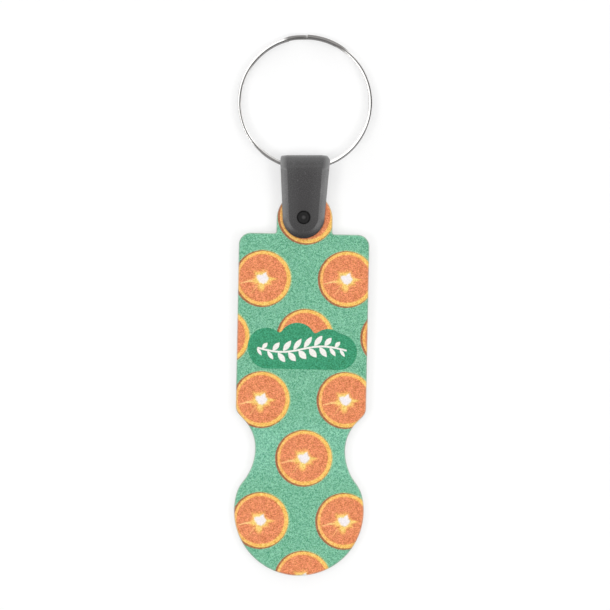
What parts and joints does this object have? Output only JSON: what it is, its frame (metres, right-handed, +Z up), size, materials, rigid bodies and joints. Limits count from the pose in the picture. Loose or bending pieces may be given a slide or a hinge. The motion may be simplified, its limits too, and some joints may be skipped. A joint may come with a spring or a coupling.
{
  "type": "trolley coin keyring",
  "caption": "Flat plastic plate with a coin-sized round end and a waist, held by a folded snap strap on a small split key ring.",
  "frame": {"origin": "centre of the whole outline's box, on the surface that the keyring lies on", "axes": "+Y from the coin end to the ring, +Z up from the surface through the printed front"},
  "size_m": [0.024, 0.0966, 0.005],
  "materials": {
    "printed_plastic": "satin plastic printed all over in colour on pale green, finely grained",
    "soft_dark_plastic": "soft dark grey moulded plastic, satin",
    "ring_steel": "bright nickel-plated spring steel"
  },
  "bodies": {
    "plate": {"coin_plate": "printed_plastic"},
    "snap_strap": {"strap": "soft_dark_plastic"},
    "ring": {"split_ring": "ring_steel"}
  },
  "joints": [
    {"name": "strap_swing", "type": "hinge", "parent": "plate", "child": "snap_strap", "pos_m": [0.00018, 0.0157, 0.00231], "axis": [0, -0.019, 0.9998], "range_deg": [-65, 65]},
    {"name": "ring_swing", "type": "hinge", "parent": "snap_strap", "child": "ring", "pos_m": [0.00002, 0.02437, 0.00248], "axis": [0.9998, 0.0192, 0.0004], "range_deg": [-120, 130]}
  ]
}
